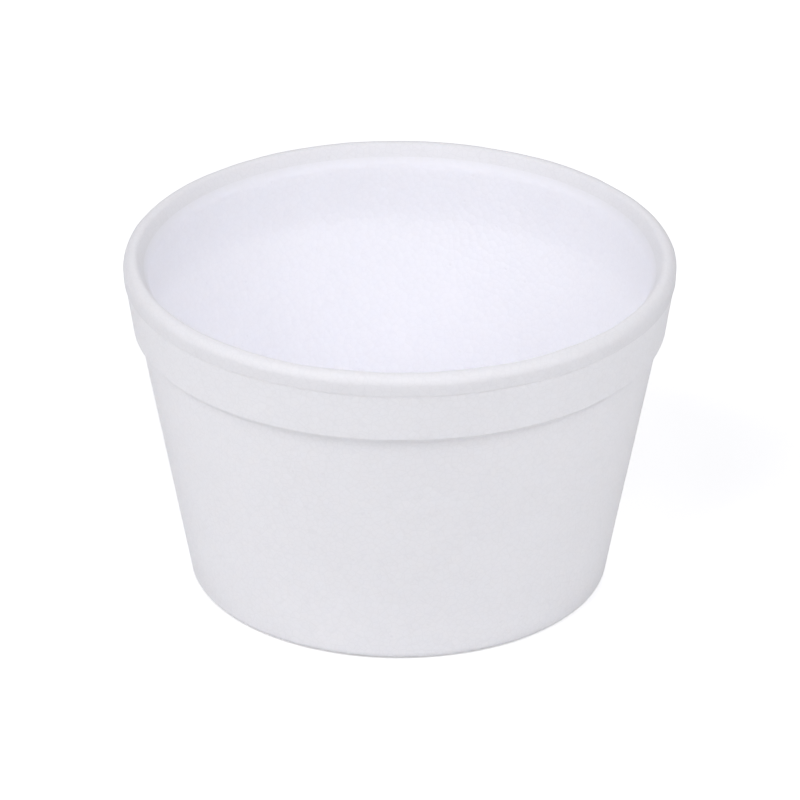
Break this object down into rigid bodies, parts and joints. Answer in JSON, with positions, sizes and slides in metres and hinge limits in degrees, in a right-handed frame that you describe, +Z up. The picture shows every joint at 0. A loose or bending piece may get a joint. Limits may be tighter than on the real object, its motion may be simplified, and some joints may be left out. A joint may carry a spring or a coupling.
{
  "type": "foam bowl",
  "caption": "Round one-piece foam food bowl with a rounded lip, a raised band under it, tapered wall and flat floor.",
  "frame": {"origin": "centre of the foot ring, on the surface the bowl stands on", "axes": "+Z up along the bowl's axis of symmetry; X and Y are free, as the bowl is round"},
  "size_m": [0.112, 0.112, 0.0704],
  "materials": {
    "foam": "white moulded bead foam with a smooth satin skin"
  },
  "bodies": {
    "root": {"bowl": "foam"}
  },
  "joints": []
}
